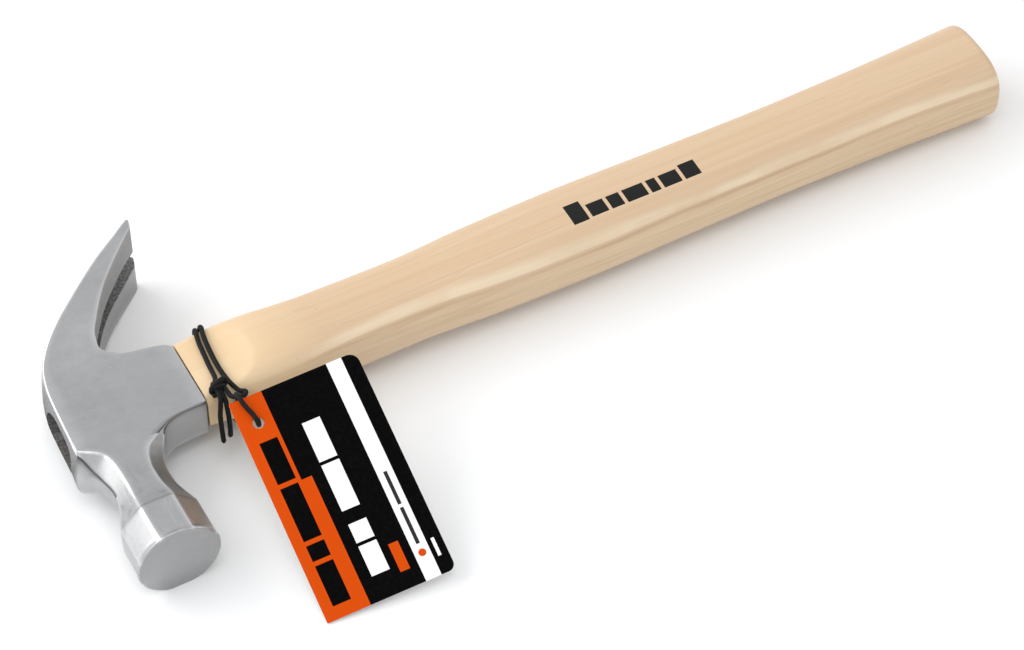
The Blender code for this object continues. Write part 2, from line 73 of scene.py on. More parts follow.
# Head
EYE_HALF_DEPTH = 8.1
EYE_HALF_THICKNESS = 4.4
EYE_FLARE = 1.08
EYE_SQUARENESS = 2.8
SLOT_ROOT = (8.8, 18.2)
SLOT_ROOT_WIDTH = 1.4
SLOT_MOUTH_WIDTH = 4.2
SLOT_BEVEL = 1.4
EDGE_RADIUS = 0.42
CORNER_SHARE = 0.42
BULGE_SHARE = 0.75

# The crown's low back corner moves by CROWN_HEEL at one station, and less on each side of it.
CROWN_HEEL = (-1.0, -2.1)
HEEL_STATION = 11.0
HEEL_SPREAD = 2.4

# How finely the head is divided: along a side, round a corner, and from slice to slice.
PER_SIDE = 9
PER_CORNER = 4
SLICE_STEPS = 9
SKIN_REACH = 0.25
HEAD_SHARP_ANGLE = math.radians(32)

# Along Y in drawing units: where the turned neck's streaks fade in, and just behind the face, past
# which the face gets painted shade.
TURNED_Y = (-16, -26)
FACE_SHADE_Y = -47.2

# Handle
BUTT_X = 263.2
TENON_END_X = -9.0
NECK_FLAT_END_X = 30.0
NECK_RUNOUT_RADIUS = 30.0
NECK_HALF_THICKNESS = 6.2
NECK_FRONT_DEPTH = 10.2
NECK_REAR_DEPTH = 12.1
OVAL_SQUARENESS = 2.8
BUTT_EDGE = 2.0
BUTT_DOME = 0.8
COLLAR_X = 25.5
SHOULDER_END_X = 62.0
HANDLE_SIDES = 112
HANDLE_SHARP_ANGLE = math.radians(30)
TENON_CLEARANCE = 0.35

# The slots for the wedges: how far the cutters stand out of the tenon's end, and how deep they go.
CUTTER_START = 4.0
KERF_DEPTH = 22.3
WEDGE_SLOT_DEPTH = 11.3
WEDGE_CENTRES_Y = (-4.0, 4.0)

# Where the wood's shades lie, in metres in the row frame.
NECK_SHADE_X = (-0.098, -0.070)
SPECKS_X = (-0.085, -0.055)
END_GRAIN_X = (0.1471, 0.1478)
PRINT_LOW_Z = 0.0145
# The wood sunk inside the eye is painted dark as shade in the recess.
SUNK_END_X = 20.0  # in drawing units: the wood inside the eye

# The plain printed mark on the handle: blocks, each low x, high x, low y and high y.
PRINT_BLOCKS = (
    (134.0, 138.6, -4.9, 1.9),
    (139.6, 144.6, -4.6, -0.2),
    (145.6, 149.4, -4.6, -0.2),
    (150.4, 156.6, -4.6, -0.2),
    (157.6, 160.4, -4.6, -0.2),
    (161.4, 166.8, -4.6, -0.2),
    (167.8, 172.6, -4.6, 0.6),
)

# Card and elastic
TAG_WIDTH = 34.7
TAG_LENGTH = 61.7
TAG_THICKNESS = 0.5
TAG_CORNER_RADII = (2.0, 2.7)
TAG_TOP_LEFT = (28.1, -17.5, 11.2)
TAG_TURN = math.radians(-4.1)
TAG_ROLL = math.radians(-6.0)
TAG_TILT = math.radians(19.4)
TAG_HOLE = (4.95, 7.5)
TAG_HOLE_RADIUS = 1.45
TAG_NICK = 0.2
TAG_CORNER_STEPS = 12
TAG_HOLE_SIDES = 48
TAG_GRID = 12
CORD_DIAMETER = 1.3
KNOT_CENTRE = (29.15, -9.0, 8.6)
KNOT_AXIS = (-0.42, -0.84, -0.34)
CURVE_STEPS = 24

# The braid: spacing along it in metres, sides, yarns, pitch in radii, and the range of its crests.
BRAID_SPACING = 0.17e-3
BRAID_SIDES = 24
BRAID_YARNS = 6
BRAID_PITCH = 3.6
CREST_LOW = 0.7071
CREST_SPAN = 0.2929

# Slices across the head, from the striking face to the claw tips. Each slice is an octagon:
# back ridge, back edge, front edge and front ridge (x, y), half thickness between the edges,
# half height of the back and front ridge, how round the slice is, from 0 to 1, and how far the
# back bulges between its ridges.
HEAD_SLICES = (
    ((-9.72, -47.3), (-3.97, -47.3), (4.37, -47.3), (10.12, -47.3), 9.92, 4.15, 4.15, 1.0, 0.0),
    ((-10.2, -46.85), (-4.15, -46.85), (4.55, -46.85), (10.6, -46.85), 10.4, 4.35, 4.35, 1.0, 0.0),
    ((-10.2, -45.2), (-4.15, -45.2), (4.55, -45.2), (10.6, -45.2), 10.2, 4.3, 4.3, 0.3, 0.0),
    ((-10.1, -36.2), (-4.15, -36.2), (4.6, -36.2), (10.65, -36.2), 10.1, 4.2, 4.2, 0.12, 0.0),
    ((-9.55, -33.9), (-3.95, -33.9), (4.95, -33.9), (10.2, -33.9), 9.2, 3.9, 3.9, 0.05, 0.0),
    ((-8.1, -30.4), (-3.6, -30.4), (4.8, -30.4), (9.25, -30.4), 7.75, 3.4, 3.4, 0.0, 0.0),
    ((-6.95, -27.0), (-3.35, -27.0), (4.5, -27.0), (8.55, -27.0), 6.75, 3.0, 3.0, 0.0, 0.0),
    ((-6.6, -23.2), (-3.2, -23.0), (4.4, -23.0), (8.4, -23.1), 6.3, 2.9, 2.9, 0.0, 0.0),
    ((-7.25, -19.6), (-3.35, -17.8), (5.0, -19.2), (8.9, -19.4), 6.25, 3.0, 3.0, 0.0, 0.15),
    ((-8.0, -17.0), (-4.2, -13.8), (6.3, -16.3), (10.1, -16.6), 6.25, 3.4, 3.3, 0.0, 1.1),
    ((-8.9, -14.2), (-6.4, -11.5), (8.9, -14.3), (11.4, -14.5), 6.25, 4.0, 4.3, 0.0, 2.1),
    ((-9.7, -11.8), (-8.8, -10.0), (12.0, -12.4), (12.6, -12.7), 6.25, 4.9, 5.8, 0.0, 2.0),
    ((-10.5, -10.2), (-10.2, -8.8), (15.6, -10.8), (15.9, -10.95), 6.25, 5.6, 5.95, 0.0, 1.45),
    ((-10.6, -8.3), (-10.15, -7.4), (19.8, -10.3), (20.0, -10.45), 6.25, 5.85, 5.95, 0.0, 1.4),
    ((-10.4, -6.0), (-10.05, -5.6), (24.4, -10.25), (24.55, -10.4), 6.25, 5.95, 5.95, 0.0, 1.6),
    ((-10.3, -4.3), (-9.95, -4.0), (25.05, -9.6), (25.2, -9.6), 6.25, 5.97, 5.95, 0.0, 1.65),
    ((-10.0, 1.5), (-9.65, 1.5), (25.05, 0.0), (25.2, 0.0), 6.25, 5.97, 5.95, 0.0, 1.75),
    ((-9.62, 7.3), (-9.3, 7.2), (25.05, 9.4), (25.2, 9.4), 6.25, 5.97, 5.95, 0.0, 1.68),
    ((-9.45, 9.1), (-9.15, 9.0), (24.0, 11.1), (24.1, 11.3), 6.25, 5.97, 5.95, 0.0, 1.55),
    ((-9.25, 11.15), (-8.95, 11.0), (20.0, 12.45), (20.05, 12.65), 6.35, 6.05, 6.0, 0.0, 1.35),
    ((-8.88, 13.55), (-8.6, 13.4), (13.5, 13.6), (13.6, 13.8), 6.6, 6.2, 6.2, 0.0, 1.07),
    ((-8.22, 16.15), (-7.95, 16.0), (9.6, 15.8), (9.75, 15.95), 6.95, 6.5, 6.5, 0.0, 0.88),
    ((-7.3, 18.8), (-7.0, 18.6), (8.0, 18.2), (8.2, 18.25), 7.45, 6.85, 7.1, 0.0, 0.7),
    ((-4.75, 23.1), (-4.35, 22.8), (8.6, 21.7), (8.8, 21.65), 8.2, 7.3, 7.9, 0.0, 0.4),
    ((0.45, 28.65), (0.8, 28.3), (11.4, 26.6), (11.55, 26.5), 9.3, 8.3, 9.0, 0.0, 0.1),
    ((8.2, 35.1), (8.6, 34.6), (16.1, 33.1), (16.25, 33.0), 10.6, 8.4, 10.3, 0.0, 0.0),
    ((17.8, 42.2), (18.1, 41.8), (22.1, 39.3), (22.2, 39.2), 11.75, 9.6, 11.5, 0.0, 0.0),
    ((25.8, 47.0), (26.0, 46.7), (27.75, 44.5), (27.85, 44.4), 12.6, 10.4, 12.4, 0.0, 0.0),
    ((28.85, 48.95), (28.95, 48.7), (30.3, 47.05), (30.4, 46.95), 12.8, 10.6, 12.6, 0.0, 0.0),
    ((30.1, 49.5), (30.15, 49.4), (30.75, 48.75), (30.8, 48.65), 12.9, 10.75, 12.75, 0.0, 0.0),
)

# Handle slices: distance from the eye, half depth, half thickness, and how far the slice's
# middle lies towards the claws.
HANDLE_SLICES = (
    (25.5, 11.75, 7.6, 0.85),
    (34.0, 12.45, 8.2, 0.85),
    (40.0, 12.6, 8.6, 0.7),
    (46.0, 12.5, 8.9, 0.4),
    (54.0, 11.95, 8.8, 0.1),
    (62.0, 11.6, 8.6, 0.0),
    (86.0, 11.3, 8.4, 0.0),
    (110.0, 12.3, 9.0, 0.0),
    (136.0, 12.7, 9.4, 0.0),
    (165.0, 12.2, 9.2, 0.0),
    (195.0, 11.8, 9.2, 0.0),
    (225.0, 12.1, 9.6, 0.0),
    (263.2, 13.3, 10.5, 0.0),
)

# The elastic is one length: from one tail through the knot, along the left strand round the neck,
# through the card's hole, back round the neck to the bight, and through the knot to the other tail.
# Inside the knot it has points of its own, where the CAD has one solid knot.
ELASTIC_ROUTE = (
    (25.9, -17.6, -3.0), (26.4, -15.8, 0.2), (26.9, -14.3, 3.6), (27.7, -13.1, 6.4),
    (28.2, -12.2, 7.8), (28.45, -9.0, 8.7), (29.75, -5.7, 8.0), (30.1, -3.7, 7.4),
    (30.4, -0.2, 7.2), (30.8, 3.6, 7.2), (31.2, 7.2, 7.2), (31.75, 9.8, 7.15),
    (32.05, 11.15, 6.8), (32.4, 12.3, 5.95), (32.5, 12.98, 4.6), (32.7, 13.0, -4.6),
    (32.7, 12.3, -5.95), (32.7, 11.15, -6.8), (32.7, 9.8, -7.15), (33.0, -8.8, -7.2),
    (33.05, -10.2, -6.7), (33.1, -11.1, -5.7), (33.1, -11.35, -4.4), (33.0, -11.5, -0.5),
    (32.8, -12.2, 2.2), (32.6, -13.4, 4.2), (32.3, -15.0, 5.0), (31.8, -16.2, 6.9),
    (31.3, -16.3, 9.4), (31.0, -16.2, 11.7), (30.9, -16.9, 13.1), (30.95, -18.2, 13.3),
    (31.1, -19.6, 12.7), (31.6, -21.3, 11.9), (32.2, -23.0, 11.2), (32.5, -24.5, 10.5),
    (32.75, -25.0, 9.3), (32.95, -24.7, 8.2), (33.5, -23.1, 7.4), (34.1, -20.0, 6.8),
    (34.3, -16.4, 5.3), (34.3, -13.8, 4.2), (34.4, -12.3, 2.2), (34.6, -11.8, -0.5),
    (34.7, -11.5, -4.4), (34.7, -11.1, -5.8), (34.65, -10.2, -6.9), (34.6, -8.8, -7.35),
    (34.3, 9.8, -7.35), (34.3, 11.3, -7.05), (34.3, 12.5, -6.15), (34.3, 13.25, -4.6),
    (34.05, 13.2, 4.6), (34.0, 12.5, 6.15), (33.85, 11.3, 7.05), (33.4, 9.8, 7.3),
    (32.85, 6.5, 7.35), (32.5, 3.0, 7.3), (32.25, -0.5, 7.3), (32.2, -4.0, 7.35),
    (32.45, -7.6, 7.5), (33.0, -10.6, 7.7), (33.6, -12.1, 7.6), (34.7, -13.3, 8.0),
    (34.1, -14.3, 8.2), (32.8, -14.4, 8.4), (31.4, -14.0, 8.5), (30.7, -13.1, 8.4),
    (30.5, -11.4, 8.3), (30.3, -10.0, 8.7), (29.85, -9.1, 8.9), (29.3, -9.4, 8.6),
    (29.2, -10.8, 8.0), (29.3, -12.5, 7.1), (29.1, -13.9, 5.2), (28.9, -15.0, 2.4),
    (28.6, -16.0, -0.4), (28.2, -16.6, -3.0),
)


# ---------------------------------------------------------------- general helpers


def place(point):
    """A point in drawing units in the hammer's own frame, as metres in the row frame."""
    return EYE_CENTRE + Vector(point) * UNIT


def add_piece(name, mesh, body, nodes):
    """A visible piece that rides on a body and stands for the CAD nodes."""
    piece = bpy.data.objects.new(name, mesh)
    bpy.context.scene.collection.objects.link(piece)
    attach(piece, body)
    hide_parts(*nodes)
    return piece


def smooth_columns(keys, values, wanted):
    """Shape-preserving cubic through the rows of values, one row a key, read at the wanted keys."""
    keys = np.asarray(keys, float)
    values = np.asarray(values, float)
    steps = np.diff(keys)[:, None]
    slopes = np.diff(values, axis=0) / steps
    tangents = np.zeros_like(values)
    tangents[0] = slopes[0]
    tangents[-1] = slopes[-1]
    before = slopes[:-1]
    after = slopes[1:]
    same_way = before * after > 0
    safe = np.where(same_way, before + after, 1.0)
    tangents[1:-1] = np.where(same_way, 2 * before * after / safe, 0.0)
    rows = []
    for key in wanted:
        i = min(max(int(np.searchsorted(keys, key, side="right")) - 1, 0), len(keys) - 2)
        width = keys[i + 1] - keys[i]
        t = (key - keys[i]) / width
        rows.append(
            values[i] * (2 * t**3 - 3 * t**2 + 1)
            + tangents[i] * width * (t**3 - 2 * t**2 + t)
            + values[i + 1] * (3 * t**2 - 2 * t**3)
            + tangents[i + 1] * width * (t**3 - t**2)
        )
    return np.array(rows)


def loft_mesh(name, loops):
    """A closed mesh through loops of equal length, with a flat cap at each end."""
    bm = bmesh.new()
    rings = [[bm.verts.new(place(point)) for point in loop] for loop in loops]
    for near, far in zip(rings, rings[1:]):
        for i, corner in enumerate(near):
            nxt = (i + 1) % len(near)
            bm.faces.new((corner, near[nxt], far[nxt], far[i]))
    bm.faces.new(list(reversed(rings[0])))
    bm.faces.new(rings[-1])
    bmesh.ops.recalc_face_normals(bm, faces=bm.faces)
    mesh = bpy.data.meshes.new(name)
    bm.to_mesh(mesh)
    bm.free()
    return mesh


def carve(mesh, cutters):
    """The mesh with each cutter mesh taken out of it, as a new mesh."""
    scene = bpy.context.scene.collection
    body = bpy.data.objects.new("carved", mesh)
    scene.objects.link(body)
    tools = []
    for tool_mesh in cutters:
        tool = bpy.data.objects.new("cutter", tool_mesh)
        scene.objects.link(tool)
        tools.append(tool)
        modifier = body.modifiers.new("cut", "BOOLEAN")
        modifier.operation = "DIFFERENCE"
        modifier.solver = "EXACT"
        modifier.object = tool
    bpy.context.view_layer.update()
    graph = bpy.context.evaluated_depsgraph_get()
    result = bpy.data.meshes.new_from_object(body.evaluated_get(graph))
    for item in [body, *tools]:
        bpy.data.objects.remove(item, do_unlink=True)
    return result


def superellipse(half_y, half_z, power, count):
    """Points (y, z) round a superellipse, from an oval at power 2 towards a box above that."""
    points = []
    for i in range(count):
        angle = 2 * math.pi * (i + 0.5) / count
        c = math.cos(angle)
        s = math.sin(angle)
        points.append(
            (
                half_y * math.copysign(abs(c) ** (2 / power), c),
                half_z * math.copysign(abs(s) ** (2 / power), s),
            )
        )
    return points


def vertex_values(mesh, name, values):
    """Stores one number at each vertex, for a material to read by name."""
    layer = mesh.attributes.new(name, "FLOAT", "POINT")
    layer.data.foreach_set("value", np.asarray(values, np.float32))


def mesh_points(mesh):
    """The mesh's vertices as rows of x, y and z."""
    points = np.zeros(len(mesh.vertices) * 3)
    mesh.vertices.foreach_get("co", points)
    return points.reshape(-1, 3)


# ---------------------------------------------------------------- node materials


class Recipe:
    """A material's node tree, written a line at a time."""

    def __init__(self, name):
        self.material = bpy.data.materials.new(name)
        self.material.use_nodes = True
        self.tree = self.material.node_tree
        self.shader = self.tree.nodes["Principled BSDF"]
        self.place = self.node("ShaderNodeTexCoord").outputs["Object"]

    def node(self, kind, **settings):
        made = self.tree.nodes.new(kind)
        for key, value in settings.items():
            setattr(made, key, value)
        return made

    def put(self, socket, value):
        if isinstance(value, bpy.types.NodeSocket):
            self.tree.links.new(value, socket)
        else:
            socket.default_value = value

    def preset(self, made, **values):
        """Sets a node's unlinked inputs, whose names have _ here where the node has a space."""
        for key, value in values.items():
            made.inputs[key.replace("_", " ")].default_value = value

    def axes(self, vector):
        made = self.node("ShaderNodeSeparateXYZ")
        self.put(made.inputs[0], vector)
        return made.outputs

    def math(self, operation, a, b=0.0, c=0.0, clamp=False):
        made = self.node("ShaderNodeMath", operation=operation, use_clamp=clamp)
        for socket, value in zip(made.inputs, (a, b, c)):
            self.put(socket, value)
        return made.outputs[0]

    def scaled(self, scale):
        made = self.node("ShaderNodeMapping")
        made.inputs["Scale"].default_value = scale
        self.put(made.inputs["Vector"], self.place)
        return made.outputs[0]

    def noise(self, scale, detail=3.0, roughness=0.5, distortion=0.0):
        made = self.node("ShaderNodeTexNoise")
        self.put(made.inputs["Vector"], self.scaled(scale))
        self.preset(made, Scale=1.0, Detail=detail, Roughness=roughness, Distortion=distortion)
        return made.outputs["Fac"]

    def remap(self, value, low, high, to_low=0.0, to_high=1.0):
        made = self.node("ShaderNodeMapRange")
        self.put(made.inputs["Value"], value)
        self.preset(made, From_Min=low, From_Max=high, To_Min=to_low, To_Max=to_high)
        return made.outputs[0]

    def mix(self, share, a, b):
        made = self.node("ShaderNodeMix", data_type="RGBA")
        self.put(made.inputs["Factor"], share)
        self.put(made.inputs["A"], a)
        self.put(made.inputs["B"], b)
        return made.outputs["Result"]

    def attribute(self, name):
        made = self.node("ShaderNodeAttribute", attribute_name=name)
        return made.outputs["Fac"]

    def bump(self, height, distance, strength=1.0, normal=None):
        made = self.node("ShaderNodeBump")
        self.preset(made, Strength=strength, Distance=distance)
        self.put(made.inputs["Height"], height)
        if normal is not None:
            self.put(made.inputs["Normal"], normal)
        return made.outputs[0]

    def finish(self, colour, roughness, normal=None, **constants):
        self.put(self.shader.inputs["Base Color"], colour)
        self.put(self.shader.inputs["Roughness"], roughness)
        if normal is not None:
            self.put(self.shader.inputs["Normal"], normal)
        self.preset(self.shader, **constants)
        return self.material


def steel_material():
    """Ground and lightly polished steel: fine lines, soft blotches, bright edges that are partly
    wear and partly a painted highlight, painted shade on the crown, its chamfer, the claws' inner
    side, the creases and the face, and a dull rough skin where the forging was never ground."""
    r = Recipe("ground_steel")
    blotch = r.noise((70, 70, 70), 5.0, 0.65)
    lines = r.noise((420, 3200, 3200), 2.0, 0.5)
    grain = r.noise((1500, 1500, 1500), 3.0, 0.6)
    wear_and_highlight = r.math("MULTIPLY", r.attribute("edge"), r.remap(blotch, 0.3, 0.6, 0.6, 1.0))
    skin = r.attribute("skin")
    base = r.mix(r.remap(blotch, 0.35, 0.65), (0.44, 0.44, 0.445, 1), (0.475, 0.473, 0.475, 1))
    base = r.mix(r.remap(lines, 0.35, 0.65, 0.0, 0.5), base, (0.49, 0.49, 0.49, 1))
    speckle = r.noise((260, 420, 420), 3.0, 0.7)
    base = r.mix(r.remap(speckle, 0.40, 0.62, 0.0, 0.22), base, (0.38, 0.378, 0.38, 1))
    base = r.mix(r.remap(speckle, 0.70, 0.78, 0.0, 0.5), base, (0.66, 0.66, 0.66, 1))
    split = r.axes(r.place)
    turned_from, turned_to = (EYE_CENTRE.y + y * UNIT for y in TURNED_Y)
    turned = r.remap(split["Y"], turned_from, turned_to)
    streaks = r.noise((190, 45, 190), 3.0, 0.6, 0.8)
    darker = r.math("MULTIPLY", turned, r.remap(streaks, 0.56, 0.70, 0.0, 0.7))
    lighter = r.math("MULTIPLY", turned, r.remap(streaks, 0.44, 0.32, 0.0, 0.8))
    base = r.mix(darker, base, (0.30, 0.298, 0.30, 1))
    base = r.mix(lighter, base, (0.60, 0.60, 0.605, 1))
    # Edges lightened: partly wear, partly a painted highlight along the bevels.
    base = r.mix(wear_and_highlight, base, (0.70, 0.70, 0.71, 1))
    # Painted shade: dark lines in the crease by the collar and in the scallop's groove.
    base = r.mix(r.attribute("crease"), base, (0.05, 0.05, 0.05, 1))
    shaded = r.mix(r.remap(grain, 0.3, 0.7), (0.035, 0.035, 0.036, 1), (0.15, 0.148, 0.15, 1))
    # Painted shade: the crown darker downwards, its chamfer toned down and the claws' inner side
    # darker; the same share makes the steel rougher and less metallic.
    base = r.mix(r.attribute("dull"), base, shaded)
    # Painted shade: the striking face is darkened, and also made rougher.
    face = r.math("LESS_THAN", split["Y"], EYE_CENTRE.y + FACE_SHADE_Y * UNIT)
    base = r.mix(r.math("MULTIPLY", face, 0.75), base, (0.35, 0.35, 0.352, 1))
    dull = r.mix(r.remap(grain, 0.35, 0.7), (0.10, 0.098, 0.095, 1), (0.25, 0.245, 0.24, 1))
    base = r.mix(skin, base, dull)
    roughness = r.math(
        "ADD", r.remap(blotch, 0.3, 0.7, 0.27, 0.36), r.remap(lines, 0.3, 0.7, -0.02, 0.03)
    )
    rough = r.math("MAXIMUM", skin, r.math("MULTIPLY", r.attribute("dull"), 1.3, clamp=True))
    rough_share = r.math("MAXIMUM", rough, r.math("MULTIPLY", face, 0.7))
    roughness = r.math("ADD", roughness, r.math("MULTIPLY", rough_share, 0.25))
    fine = r.bump(lines, 0.000012, 0.5)
    fine = r.bump(r.math("MULTIPLY", grain, r.math("ADD", rough, 0.06)), 0.00012, 0.8, fine)
    bare = r.remap(r.attribute("dull"), 0.5, 0.72, 1.0, 0.1)
    r.put(r.shader.inputs["Metallic"], bare)
    return r.finish(base, roughness, fine)


def wood_material():
    """Pale straight-grained wood under clear varnish, with end grain at the butt."""
    r = Recipe("varnished_wood")
    split = r.axes(r.place)
    warp = r.noise((9, 55, 55), 3.0, 0.55)
    rings = r.noise((4.0, 330, 260), 4.0, 0.62, 0.6)
    fibres = r.noise((45, 2300, 2300), 3.0, 0.6)
    pores = r.noise((90, 3800, 3800), 2.0, 0.5)
    light = (0.685, 0.505, 0.338, 1)
    warm = (0.63, 0.44, 0.275, 1)
    colour = r.mix(r.remap(rings, 0.38, 0.64), light, warm)
    colour = r.mix(r.remap(warp, 0.4, 0.7, 0.0, 0.5), colour, (0.655, 0.49, 0.305, 1))
    colour = r.mix(r.remap(fibres, 0.52, 0.75, 0.0, 0.45), colour, (0.66, 0.45, 0.27, 1))
    colour = r.mix(r.remap(pores, 0.66, 0.74, 0.0, 0.5), colour, (0.50, 0.31, 0.17, 1))
    wander = r.math("MULTIPLY", r.math("SUBTRACT", warp, 0.5), 0.004)
    level = r.math("ADD", split["Z"], wander)
    side = r.math("LESS_THAN", split["Y"], EYE_CENTRE.y)
    # Painted light: the lower part of the near side is lightened; the darker waves on it are the
    # wood's figure.
    lower = r.math("MULTIPLY", r.remap(level, 0.0205, 0.0165), side)
    waves = r.noise((14, 420, 420), 4.0, 0.6, 1.2)
    colour = r.mix(r.math("MULTIPLY", lower, 0.5), colour, (0.73, 0.565, 0.385, 1))
    waved = r.math("MULTIPLY", lower, r.remap(waves, 0.5, 0.62, 0.0, 0.6))
    colour = r.mix(waved, colour, (0.60, 0.425, 0.25, 1))
    # Painted highlight: a broken light stripe along the near side's ridge.
    ridge = r.math("MULTIPLY", r.remap(level, 0.0198, 0.0202), r.remap(level, 0.0220, 0.0211))
    broken = r.remap(r.noise((30, 90, 90), 3.0, 0.6), 0.35, 0.6, 0.35, 0.85)
    ridge = r.math("MULTIPLY", r.math("MULTIPLY", ridge, side), broken)
    colour = r.mix(ridge, colour, (0.83, 0.68, 0.49, 1))
    # Painted shadow: a darker wavy line just under the ridge.
    under = r.math("MULTIPLY", r.remap(level, 0.0182, 0.0190), r.remap(level, 0.0198, 0.0193))
    under = r.math("MULTIPLY", r.math("MULTIPLY", under, side), r.remap(waves, 0.4, 0.6, 0.1, 0.6))
    colour = r.mix(under, colour, (0.50, 0.34, 0.20, 1))
    neck = r.remap(split["X"], *NECK_SHADE_X, 0.75, 0.0)
    colour = r.mix(neck, colour, (0.84, 0.62, 0.37, 1))
    specks = r.noise((420, 1100, 1100), 2.0, 0.5)
    near_head = r.remap(split["X"], *SPECKS_X, 0.8, 0.25)
    spotted = r.math("MULTIPLY", r.remap(specks, 0.765, 0.785), near_head)
    colour = r.mix(spotted, colour, (0.16, 0.09, 0.045, 1))
    end = r.remap(split["X"], *END_GRAIN_X)
    growth = r.node("ShaderNodeTexWave", wave_type="RINGS", rings_direction="X")
    r.put(growth.inputs["Vector"], r.scaled((0, 1, 1)))
    r.preset(growth, Scale=190.0, Distortion=2.2, Detail=3.0)
    end_grain = r.mix(growth.outputs["Fac"], (0.52, 0.34, 0.19, 1), (0.72, 0.52, 0.32, 1))
    colour = r.mix(end, colour, end_grain)
    # Painted shade: the wood sunk inside the eye is darkened.
    sunk_shade = r.math("LESS_THAN", split["X"], EYE_CENTRE.x + SUNK_END_X * UNIT)
    colour = r.mix(sunk_shade, colour, (0.24, 0.215, 0.19, 1))
    height = r.math("GREATER_THAN", split["Z"], PRINT_LOW_Z)
    for low_x, high_x, low_y, high_y in PRINT_BLOCKS:
        block = rectangle(
            r,
            split["X"],
            split["Y"],
            EYE_CENTRE.x + low_x * UNIT,
            EYE_CENTRE.x + high_x * UNIT,
            EYE_CENTRE.y + low_y * UNIT,
            EYE_CENTRE.y + high_y * UNIT,
        )
        colour = r.mix(r.math("MULTIPLY", block, height), colour, (0.003, 0.003, 0.003, 1))
    roughness = r.remap(fibres, 0.3, 0.8, 0.36, 0.48)
    normal = r.bump(rings, 0.00005, 0.35)
    normal = r.bump(fibres, 0.00003, 0.5, normal)
    return r.finish(
        colour, roughness, normal, Coat_Weight=0.16, Coat_Roughness=0.25, Specular_IOR_Level=0.22
    )


def wedge_wood_material():
    """Darker bare wood, for the wooden wedge."""
    r = Recipe("wedge_wood")
    fibres = r.noise((60, 1500, 1500), 4.0, 0.6)
    colour = r.mix(fibres, (0.05, 0.03, 0.016, 1), (0.10, 0.062, 0.034, 1))
    return r.finish(colour, 0.62, r.bump(fibres, 0.00006, 0.6))


def wedge_steel_material():
    """Plain cut steel, for the two steel wedges."""
    r = Recipe("wedge_steel")
    shear = r.noise((300, 2200, 300), 3.0, 0.6)
    colour = r.mix(shear, (0.14, 0.14, 0.145, 1), (0.24, 0.24, 0.25, 1))
    roughness = r.remap(shear, 0.3, 0.7, 0.35, 0.5)
    return r.finish(colour, roughness, r.bump(shear, 0.00005, 0.6), Metallic=1.0)


def elastic_material():
    """Black braided yarn: matt, with the crests of the braid painted a little lighter as a
    highlight.
    """
    r = Recipe("black_elastic")
    crest = r.attribute("crest")
    fuzz = r.noise((5200, 5200, 5200), 2.0, 0.6)
    # Painted highlight: the braid's crests are a little lighter.
    colour = r.mix(r.remap(crest, 0.2, 1.0), (0.002, 0.002, 0.002, 1), (0.011, 0.011, 0.011, 1))
    colour = r.mix(r.remap(fuzz, 0.55, 0.8, 0.0, 0.5), colour, (0.03, 0.03, 0.031, 1))
    return r.finish(
        colour,
        0.6,
        r.bump(fuzz, 0.00004, 0.5),
        Sheen_Weight=0.05,
        Sheen_Roughness=0.4,
        Specular_IOR_Level=0.22,
    )


# ---------------------------------------------------------------- camera, light and floor


def make_camera():
    """The camera at the photograph's own viewing angle."""
    back = Vector(
        (
            math.sin(CAMERA_AZIMUTH) * math.cos(CAMERA_ELEVATION),
            -math.cos(CAMERA_AZIMUTH) * math.cos(CAMERA_ELEVATION),
            math.sin(CAMERA_ELEVATION),
        )
    )
    data = bpy.data.cameras.new("camera")
    data.sensor_width = 36.0
    data.lens = CAMERA_LENS
    camera = bpy.data.objects.new("camera", data)
    bpy.context.scene.collection.objects.link(camera)
    camera.location = place(CAMERA_TARGET) + back * CAMERA_DISTANCE * UNIT
    camera.rotation_mode = "QUATERNION"
    camera.rotation_quaternion = (-back).to_track_quat("-Z", "Y")
    bpy.context.scene.camera = camera


def area_light(name, direction, distance, size, power):
    """A white panel that faces the frame's origin from the given direction."""
    data = bpy.data.lights.new(name, "AREA")
    data.shape = "RECTANGLE"
    data.size, data.size_y = size
    data.energy = power
    light = bpy.data.objects.new(name, data)
    bpy.context.scene.collection.objects.link(light)
    way = Vector(direction).normalized()
    light.location = way * distance
    light.rotation_mode = "QUATERNION"
    light.rotation_quaternion = (-way).to_track_quat("-Z", "Y")


def make_studio():
    """Plain pale surroundings and two soft lamps."""
    scene = bpy.context.scene
    scene.view_settings.view_transform = "Standard"
    world = bpy.data.worlds.new("studio")
    scene.world = world
    world.use_nodes = True
    background = world.node_tree.nodes["Background"]
    background.inputs["Color"].default_value = SKY_COLOUR
    background.inputs["Strength"].default_value = SKY_STRENGTH
    for lamp in LAMPS:
        area_light(*lamp)


